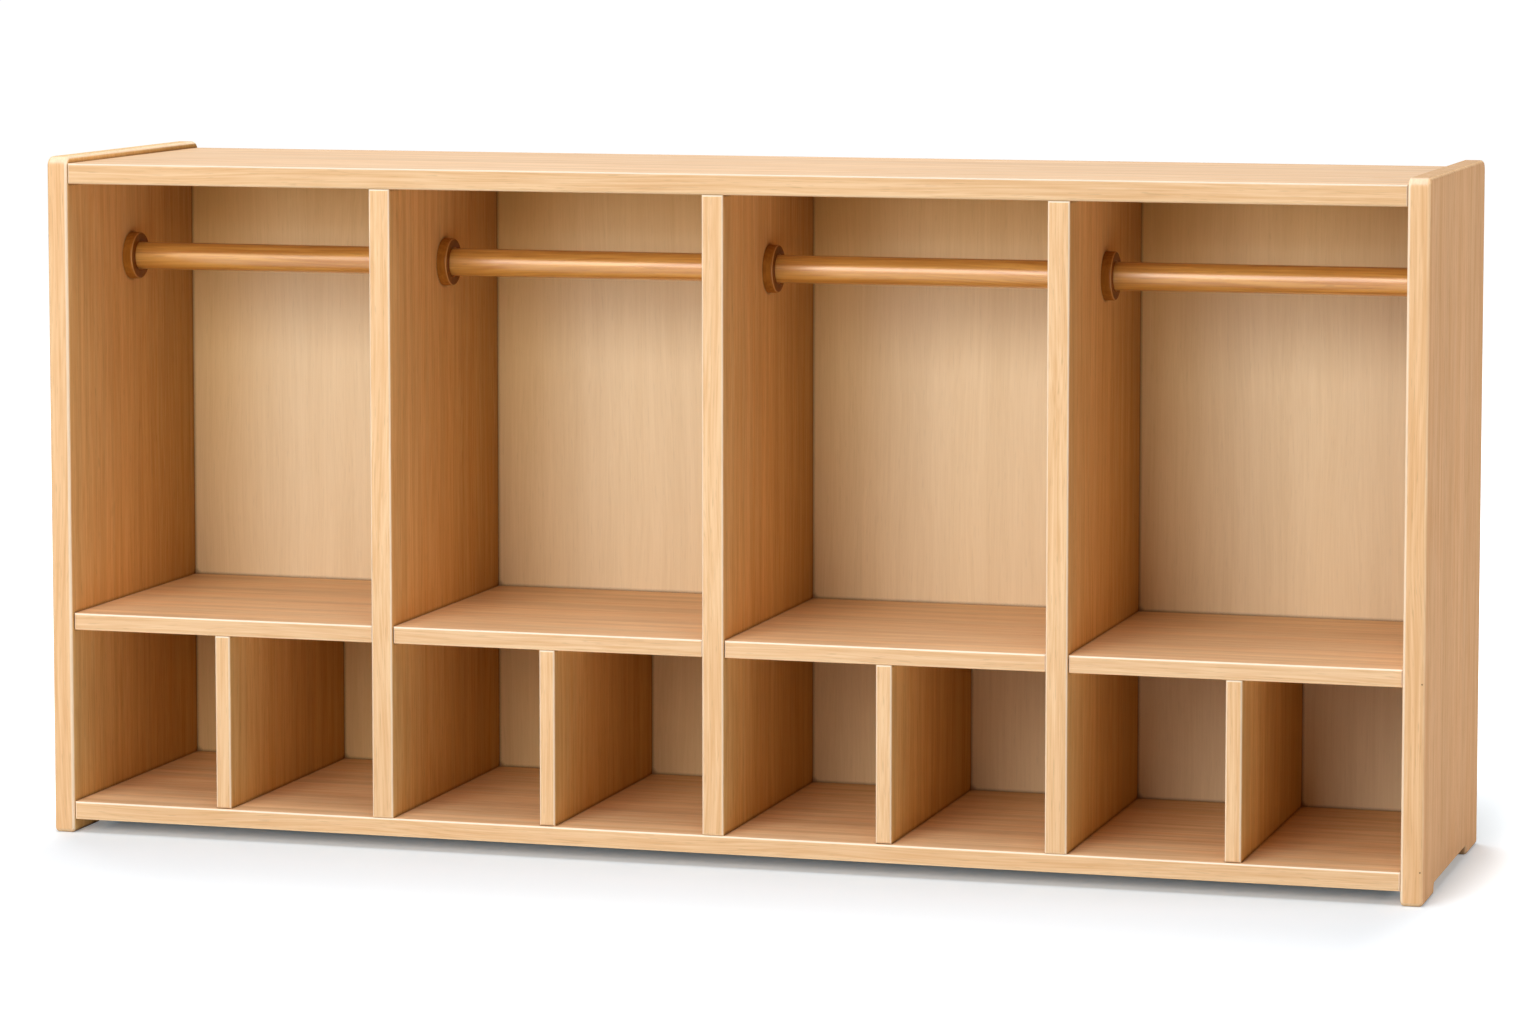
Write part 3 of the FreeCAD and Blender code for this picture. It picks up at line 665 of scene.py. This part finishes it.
def veneer_shading_and_marks(woods):
    """A step that paints shade on the back panel under the top, beside walls, in the cubbies, at
    its right end and in its joints, and tones it behind.
    """
    first_wall, last_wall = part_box("left_side_panel")[1].x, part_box("right_side_panel")[0].x
    pitch = middle("divider_2").x - middle("divider_1").x
    ceiling, shelf_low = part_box("top_panel")[0].z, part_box("shelf_1")[0].z

    def shading_and_marks(nodes, place, normal, wooden):
        parts = nodes.parts(place)
        in_bay = nodes.math("GREATER_THAN", parts["Z"], shelf_low)
        upward = nodes.span(parts["Z"], shelf_low, ceiling, FOOT_SHARE, 1.0)
        from_wall = nodes.math("MODULO", nodes.math("SUBTRACT", parts["X"], first_wall), pitch)
        beside = nodes.span(from_wall, 0.0, CORNER_WIDTH, 1.0, 0.0)
        beside = nodes.math("MULTIPLY", beside, upward)
        under_top = nodes.math("SUBTRACT", ceiling, parts["Z"])
        under_top = nodes.span(under_top, 0.0, CORNER_HEIGHT, 1.0, 0.0)
        in_cubby = nodes.span(parts["X"], first_wall, last_wall, CUBBY_SHARE, 0.0)
        in_cubby = nodes.math("MULTIPLY", in_cubby, nodes.math("SUBTRACT", 1.0, in_bay))
        last = nodes.span(parts["X"], last_wall - pitch / 2, last_wall)
        last = nodes.math("MULTIPLY", last, upward)
        # Painted shade in the corners, under the top, in the cubbies and at the right end
        zones = (
            (nodes.math("MULTIPLY", beside, in_bay), woods.bay_corner_shade),
            (nodes.math("MAXIMUM", under_top, in_cubby), woods.bay_corner_shade),
            (nodes.math("MULTIPLY", last, in_bay), woods.shade_tone),
            (nodes.math("MULTIPLY", beside, under_top), woods.shade_tone),
        )
        to_front = nodes.span(nodes.measure("DOT_PRODUCT", normal, FRONT), *VENEER_LIMITS)
        for zone, tone in zones:
            amount = nodes.math("MULTIPLY", zone, to_front)
            wooden = nodes.blend(amount, wooden, opaque(tone), "MULTIPLY")
        wooden = towards(nodes, normal, REAR, opaque(woods.rear_tone), wooden)
        # Painted shade in the corners where pieces meet
        return painted_joint_shade(nodes, wooden)

    return shading_and_marks


def cup_shading_and_marks(woods):
    """A step that deepens the end grain of a cup and paints a highlight along its rim."""

    def shading_and_marks(nodes, place, normal, wooden):
        axial = nodes.math("ABSOLUTE", nodes.parts(normal)["X"])
        end = nodes.span(axial, *END_LIMITS)
        wooden = nodes.blend(end, wooden, opaque(woods.cup_end), "MULTIPLY")
        # Painted highlight along the rim
        begins, ends = nodes.span(axial, *RIM_BEGINS), nodes.span(axial, *RIM_ENDS, RIM_HIGHLIGHT_SHARE, 0.0)
        return nodes.blend(nodes.math("MULTIPLY", begins, ends), wooden, opaque(woods.rim_highlight))

    return shading_and_marks


class WARDROBE_OT_panels(bpy.types.Operator):
    """Give the sides, dividers, top, bottom and shelves their glued-up boards"""

    bl_idname = "wardrobe.panels"
    bl_label = "Finish panels"

    def execute(self, context):
        woods = context.scene.wardrobe_woods
        tints = (woods.panel_light, woods.panel_dark)
        grain = Grain(
            stave=woods.stave_width, ring_gap=woods.ring_gap, ring=0.22, band=0.8, streak=1.5,
            fibre=1.1, pores=0.25, cloud=0.10, stave_tone=0.035, roughness=woods.panel_roughness,
        )
        upright = named("left_side", "right_side", "divider", "cubby_divider")
        for seed, node in enumerate(upright, start=SEEDS["upright"]):
            shading_and_marks = upright_shading_and_marks(node, woods)
            dress_in_wood(node, tints, grain, UPRIGHT_GRAIN, seed, shading_and_marks)
        lying = named("top_panel", "bottom_panel", "shelf")
        for seed, node in enumerate(lying, start=SEEDS["lying"]):
            board = OTHER_BOARDS.get(node, SHELF_BOARD)
            glossy = grain._replace(specular=board.shine, tone=board.tone)
            shading_and_marks = lying_shading_and_marks(node, woods, board.front / board.tone)
            dress_in_wood(node, tints, glossy, LYING_GRAIN, seed, shading_and_marks)
        return {"FINISHED"}


class WARDROBE_OT_back_panel(bpy.types.Operator):
    """Give the back panel its sliced veneer"""

    bl_idname = "wardrobe.back_panel"
    bl_label = "Finish back panel"

    def execute(self, context):
        woods = context.scene.wardrobe_woods
        tints = (woods.back_light, woods.back_dark)
        grain = Grain(
            stave=0.24, ring_gap=0.03, ring=0.1, band=0.5, streak=0.5, fibre=0.5, pores=0.1,
            cloud=0.09, stave_tone=0.01, roughness=0.5, specular=0.08,
        )
        node = "back_panel"
        shading_and_marks = veneer_shading_and_marks(woods)
        veneer = wood(
            "back_veneer", tints, grain, BACK_GRAIN, middle(node), SEEDS["back"], shading_and_marks
        )
        dress(node, veneer)
        return {"FINISHED"}


class WARDROBE_OT_rods(bpy.types.Operator):
    """Give the hanging rods their golden lacquered wood"""

    bl_idname = "wardrobe.rods"
    bl_label = "Finish rods"

    def execute(self, context):
        woods = context.scene.wardrobe_woods
        tints = (woods.rod_light, woods.rod_dark)
        grain = Grain(
            stave=1.0, ring_gap=0.006, ring=0.35, band=0.6, streak=1.6, fibre=0.8, pores=0.3,
            cloud=0.25, roughness=woods.rod_roughness, specular=0.4, coat=0.95, gloss=0.24,
            lustre=0.14, bump=0.1,
        )
        for seed, node in enumerate(named("hanging_rod"), start=SEEDS["rod"]):
            dress_in_wood(node, tints, grain, LYING_GRAIN, seed)
        return {"FINISHED"}


class WARDROBE_OT_sockets(bpy.types.Operator):
    """Give the rod cups their dark stained wood"""

    bl_idname = "wardrobe.sockets"
    bl_label = "Finish rod cups"

    def execute(self, context):
        woods = context.scene.wardrobe_woods
        tints = (woods.socket_light, woods.socket_dark)
        grain = Grain(
            stave=1.0, ring_gap=0.004, ring=0.25, band=0.5, streak=0.8, fibre=0.5, pores=0.2,
            cloud=0.1, roughness=0.4, coat=0.35, gloss=0.14, bump=0.08,
        )
        for seed, node in enumerate(named("rod_socket"), start=SEEDS["cup"]):
            dress_in_wood(node, tints, grain, UPRIGHT_GRAIN, seed, cup_shading_and_marks(woods))
        return {"FINISHED"}


class WARDROBE_OT_dowels(bpy.types.Operator):
    """Give the hidden dowels their bare wood"""

    bl_idname = "wardrobe.dowels"
    bl_label = "Finish dowels"

    def execute(self, context):
        woods = context.scene.wardrobe_woods
        tints = (woods.dowel_light, woods.dowel_dark)
        grain = Grain(
            stave=1.0, ring_gap=0.003, ring=0.2, band=0.5, streak=0.8, fibre=0.6, pores=0.2,
            cloud=0.1, roughness=0.7, specular=0.3, bump=0.1,
        )
        centre, seed = (0, 0, 0), SEEDS["dowel"]
        lying = wood("dowel_lying", tints, grain, LYING_GRAIN, centre, seed)
        standing = wood("dowel_standing", tints, grain, UPRIGHT_GRAIN, centre, seed + 1)
        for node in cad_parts:
            if node.endswith("_dowels"):
                dress(node, standing if "divider" in node else lying)
        return {"FINISHED"}


# Screws

# Height of the domed head, its straight brim and the bevel below it as parts of that height, the
# bevel's inner end as a part of the head's radius, height of the tip, and steps of dome and turning
CROWN = 0.0022
BRIM = 0.3
BEVEL = 0.08
BEVEL_END = 0.96
TIP = 0.0025
DOME_STEPS = 7
TURNED_SIDES = 40

# Cross recess: span and width as parts of the head's radius, depth as a part of the head's height,
# how far the cutter stands out, and how narrow a blade is at its tip
CROSS_SPAN = 1.25
CROSS_WIDTH = 0.26
CROSS_DEPTH = 0.75
CUTTER_MARGIN = 0.0002
BLADE_TIP = 0.35

# Degrees between two screws' recesses, degrees from which an edge stays sharp, and the distance
# below which two corners of a solid are one
SCREW_TURN = 37
SHARP_ANGLE = 35
SAME_PLACE = 1e-6


def solids_of(node):
    """Lowest and highest corner of each separate solid of a group, in order."""
    mesh = bmesh.new()
    mesh.from_mesh(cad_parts[node].data)
    bmesh.ops.remove_doubles(mesh, verts=mesh.verts, dist=SAME_PLACE)
    left = set(mesh.verts)
    boxes = []
    while left:
        grow = [left.pop()]
        found = []
        while grow:
            vertex = grow.pop()
            found.append(vertex.co.copy())
            for edge in vertex.link_edges:
                other = edge.other_vert(vertex)
                if other in left:
                    left.discard(other)
                    grow.append(other)
        low = Vector([min(at[axis] for at in found) for axis in range(3)])
        high = Vector([max(at[axis] for at in found) for axis in range(3)])
        boxes.append((low, high))
    mesh.free()
    return sorted(boxes, key=lambda box: tuple(box[0]))


def turned(outline):
    """A mesh turned about Y from pairs of radius and height, closed at both ends on the axis."""
    mesh = bmesh.new()
    angles = [2 * math.pi * step / TURNED_SIDES for step in range(TURNED_SIDES)]
    rings = []
    for radius, height in outline:
        if radius == 0:
            rings.append([mesh.verts.new((0, height, 0))])
            continue
        places = [(radius * math.cos(a), height, radius * math.sin(a)) for a in angles]
        rings.append([mesh.verts.new(place) for place in places])
    for below, above in zip(rings, rings[1:]):
        for step in range(TURNED_SIDES):
            corners = [below[step % len(below)], below[(step + 1) % len(below)]]
            corners += [above[(step + 1) % len(above)], above[step % len(above)]]
            mesh.faces.new(list(dict.fromkeys(corners)))
    bmesh.ops.recalc_face_normals(mesh, faces=mesh.faces)
    return mesh


def as_object(name, mesh):
    """Put a mesh into the scene under a name."""
    data = bpy.data.meshes.new(name)
    mesh.to_mesh(data)
    mesh.free()
    thing = bpy.data.objects.new(name, data)
    bpy.context.scene.collection.objects.link(thing)
    return thing


def cross_cutter(span, width, depth, top):
    """The tapered cross of a driver's tip, with its broad end at a height."""
    mesh = bmesh.new()
    for turn in (0, 90):
        blade = bmesh.ops.create_cube(mesh, size=1.0)["verts"]
        bmesh.ops.scale(mesh, vec=(span, depth, width), verts=blade)
        bmesh.ops.translate(mesh, vec=(0, top - depth / 2, 0), verts=blade)
        for vertex in blade:
            if vertex.co.y < top - depth / 2:
                vertex.co.x *= BLADE_TIP
        bmesh.ops.rotate(mesh, matrix=Matrix.Rotation(math.radians(turn), 3, "Y"), verts=blade)
    return as_object("cross_cutter", mesh)


def screw_mesh(low, high):
    """A dome-headed screw as long and as broad as a solid, with a cross recess in its head."""
    whole = high.y - low.y
    head = (high.x - low.x) / 2
    shank = head / 2
    seat = whole - CROWN
    outline = [(0, 0), (shank, TIP), (shank, seat), (head * BEVEL_END, seat)]
    outline += [(head, seat + CROWN * BEVEL), (head, seat + CROWN * BRIM)]
    for step in range(1, DOME_STEPS):
        angle = math.pi / 2 * step / DOME_STEPS
        rise = BRIM + (1 - BRIM) * math.sin(angle)
        outline.append((head * math.cos(angle), seat + CROWN * rise))
    outline.append((0, whole))

    body = as_object("screw_body", turned(outline))
    sizes = (head * CROSS_SPAN, head * CROSS_WIDTH, CROWN * CROSS_DEPTH)
    cutter = cross_cutter(*sizes, whole + CUTTER_MARGIN)
    cut = body.modifiers.new("cross", "BOOLEAN")
    cut.object = cutter
    cut.operation = "DIFFERENCE"
    cut.solver = "EXACT"
    # The cutter's two blades cross each other
    cut.use_self = True
    evaluated = body.evaluated_get(bpy.context.evaluated_depsgraph_get())
    made = bpy.data.meshes.new_from_object(evaluated)
    for helper in (body, cutter):
        bpy.data.objects.remove(helper)
    if not made.polygons:
        raise RuntimeError("Cutting the cross recess left no screw")
    made.shade_smooth()
    made.set_sharp_from_angle(angle=math.radians(SHARP_ANGLE))
    return made


def crossed_screws(boxes):
    """One mesh with a screw in each box, each driven home at another angle."""
    pattern = screw_mesh(*boxes[0])
    mesh = bmesh.new()
    for count, (low, high) in enumerate(boxes):
        start = len(mesh.verts)
        mesh.from_mesh(pattern)
        mesh.verts.ensure_lookup_table()
        fresh = mesh.verts[start:]
        turn = Matrix.Rotation(math.radians(SCREW_TURN * count), 3, "Y")
        bmesh.ops.rotate(mesh, matrix=turn, verts=fresh)
        place = ((low.x + high.x) / 2, low.y, (low.z + high.z) / 2)
        bmesh.ops.translate(mesh, vec=place, verts=fresh)
    return mesh


class WARDROBE_OT_screws(bpy.types.Operator):
    """Remake the back panel's screws with a cross recess, and plate them and the cups' screws"""

    bl_idname = "wardrobe.screws"
    bl_label = "Make screws"

    def execute(self, context):
        plated = plated_steel("screw_steel_plated")
        for node in ("back_screws_dividers", "back_screws_shelves"):
            screws = as_object(f"{node}_crossed", crossed_screws(solids_of(node)))
            screws.data.materials.append(plated)
            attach(screws, BODY)
            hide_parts(node)
        for node in ("socket_screws_left", "socket_screws_right"):
            dress(node, plated)
        return {"FINISHED"}


# Studio

# What the lights look at, and the camera: its place, degrees that it looks down and turns to the
# left, and width of its sensor in millimetres
AIM = Vector((0, 0, 0.3))
CAMERA_PLACE = (1.260, -4.280, 0.829)
CAMERA_DIP = 5.18
CAMERA_TURN = 16.33
SENSOR_WIDTH = 36

# Floor: half its width, its roughness, and its painted shadow, a glow lowered near the cabinet: how
# far inside the cabinet's box its darkest part ends at the sides and in front, how much sooner it
# is white at the sides, which part of its glow is left in the darkest part, and the cool tint
# painted there
FLOOR_HALF = 60
FLOOR_ROUGHNESS = 0.9
PAINTED_SHADOW_BESIDE = 0.04
PAINTED_SHADOW_FRONT = 0.07
SIDE_RATE = 6
PAINTED_SHADOW_GLOW = 0.4
PAINTED_SHADOW_TINT = (0.5, 0.8, 1)


def softbox(name, power, size, azimuth, elevation, distance):
    """A rectangular light that faces the cabinet, by degrees to the left of its front and up."""
    data = bpy.data.lights.new(name, "AREA")
    data.energy = power
    data.shape = "RECTANGLE"
    data.size, data.size_y = size
    turn, rise = math.radians(azimuth), math.radians(elevation)
    forward = math.cos(rise)
    way = Vector((-math.sin(turn) * forward, -math.cos(turn) * forward, math.sin(rise)))
    lamp = bpy.data.objects.new(name, data)
    lamp.location = AIM + way * distance
    lamp.rotation_euler = way.to_track_quat("Z", "Y").to_euler()
    bpy.context.scene.collection.objects.link(lamp)


def seen_directly(nodes):
    """1 where a camera, mirror or glass ray meets the surface, 0 for light that bounces."""
    path = nodes.add("LightPath").outputs
    seen = nodes.math("MAXIMUM", path["Is Camera Ray"], path["Is Glossy Ray"])
    return nodes.math("MAXIMUM", seen, path["Is Transmission Ray"])


def studio_floor(stage):
    """A wide pale floor that stays white to the eye, keeps the shadow of the cabinet and has a
    painted shadow, a lower and cooler glow, near it.
    """
    mesh = bmesh.new()
    bmesh.ops.create_grid(mesh, x_segments=1, y_segments=1, size=FLOOR_HALF)
    floor = as_object("studio_floor", mesh)
    nodes = Nodes(bpy.data.materials.new("floor_paint"))
    place = nodes.add("TexCoord").outputs["Object"]
    low, high = CAD_BOX
    # Painted shadow: the glow is lower and cooler the nearer the cabinet
    dark = ((high.x - low.x) / 2 - PAINTED_SHADOW_BESIDE, (high.y - low.y) / 2 - PAINTED_SHADOW_FRONT, 0)
    beyond = nodes.vector("SUBTRACT", nodes.vector("ABSOLUTE", place), dark)
    beyond = nodes.vector("MAXIMUM", beyond, (0, 0, 0))
    away = nodes.measure("LENGTH", nodes.vector("MULTIPLY", beyond, (SIDE_RATE, 1, 1)))
    glow = stage.floor_glow
    near = nodes.span(away, 0.0, PAINTED_SHADOW_FRONT, glow * PAINTED_SHADOW_GLOW, glow)
    far = nodes.span(away, PAINTED_SHADOW_FRONT, stage.shadow_reach, 0.0, 1.0 - glow)
    strength = nodes.math("MULTIPLY", seen_directly(nodes), nodes.math("ADD", near, far))
    shadow_tint = nodes.blend(nodes.span(away, 0.0, PAINTED_SHADOW_FRONT * 2), opaque(PAINTED_SHADOW_TINT), WHITE)
    nodes.feed(nodes.shader, {
        "Base Color": opaque(stage.floor_tint),
        "Roughness": FLOOR_ROUGHNESS,
        "Specular IOR Level": 0.0,
        "Emission Color": shadow_tint,
        "Emission Strength": strength,
    })
    floor.data.materials.append(nodes.owner)


def studio_sky(strength):
    """Even light from all round, with a white background to the eye."""
    world = bpy.data.worlds.new("studio_sky")
    bpy.context.scene.world = world
    nodes = Nodes(world, "Background")
    inputs = {"Value": seen_directly(nodes), "To Min": strength, "To Max": 1.0}
    rate = nodes.add("MapRange", inputs).outputs["Result"]
    nodes.feed(nodes.shader, {"Color": WHITE, "Strength": rate})


def studio_camera(stage):
    """A long lens that looks a little down at the cabinet from its right."""
    data = bpy.data.cameras.new("camera")
    data.lens = stage.lens
    data.sensor_width = SENSOR_WIDTH
    data.shift_y = stage.camera_shift
    camera = bpy.data.objects.new("camera", data)
    camera.location = CAMERA_PLACE
    camera.rotation_euler = (math.radians(90 - CAMERA_DIP), 0, math.radians(CAMERA_TURN))
    bpy.context.scene.collection.objects.link(camera)
    bpy.context.scene.camera = camera


class WARDROBE_OT_stage(bpy.types.Operator):
    """Set the floor, the soft lights and the camera"""

    bl_idname = "wardrobe.stage"
    bl_label = "Set stage"

    def execute(self, context):
        stage = context.scene.wardrobe_stage
        context.scene.view_settings.view_transform = "Standard"
        studio_floor(stage)
        studio_sky(stage.sky)
        softbox(
            "front_softbox", stage.key_power,
            size=(2.6, 2.8), azimuth=11, elevation=18, distance=5.0,
        )
        softbox(
            "top_softbox", stage.top_power,
            size=(2.4, 2.0), azimuth=0, elevation=75, distance=3.0,
        )
        softbox(
            "side_softbox", stage.side_power,
            size=(2.8, 2.8), azimuth=-96, elevation=14, distance=7.0,
        )
        softbox(
            "rear_softbox", stage.rear_power,
            size=(2.6, 2.4), azimuth=150, elevation=58, distance=4.5,
        )
        studio_camera(stage)
        return {"FINISHED"}


# Sidebar and start


class WARDROBE_PT_sidebar(bpy.types.Panel):
    """Steps and settings of the wardrobe"""

    bl_idname = "WARDROBE_PT_sidebar"
    bl_label = "Wardrobe"
    bl_space_type = "VIEW_3D"
    bl_region_type = "UI"
    bl_category = "Wardrobe"

    def draw(self, context):
        for step in STEPS:
            self.layout.operator(step.bl_idname)
        for settings in (context.scene.wardrobe_woods, context.scene.wardrobe_stage):
            for name in settings.bl_rna.properties.keys():
                if name not in ("rna_type", "name"):
                    self.layout.prop(settings, name)


STEPS = (
    WARDROBE_OT_panels,
    WARDROBE_OT_back_panel,
    WARDROBE_OT_rods,
    WARDROBE_OT_sockets,
    WARDROBE_OT_dowels,
    WARDROBE_OT_screws,
    WARDROBE_OT_stage,
)
CLASSES = (WardrobeWoods, WardrobeStage, *STEPS, WARDROBE_PT_sidebar)


def register():
    for item in CLASSES:
        bpy.utils.register_class(item)
    bpy.types.Scene.wardrobe_woods = PointerProperty(type=WardrobeWoods)
    bpy.types.Scene.wardrobe_stage = PointerProperty(type=WardrobeStage)


def unregister():
    del bpy.types.Scene.wardrobe_stage
    del bpy.types.Scene.wardrobe_woods
    for item in reversed(CLASSES):
        bpy.utils.unregister_class(item)


def main():
    register()
    bpy.ops.wardrobe.panels()
    bpy.ops.wardrobe.back_panel()
    bpy.ops.wardrobe.rods()
    bpy.ops.wardrobe.sockets()
    bpy.ops.wardrobe.dowels()
    bpy.ops.wardrobe.screws()
    bpy.ops.wardrobe.stage()


if __name__ == "__main__":
    main()
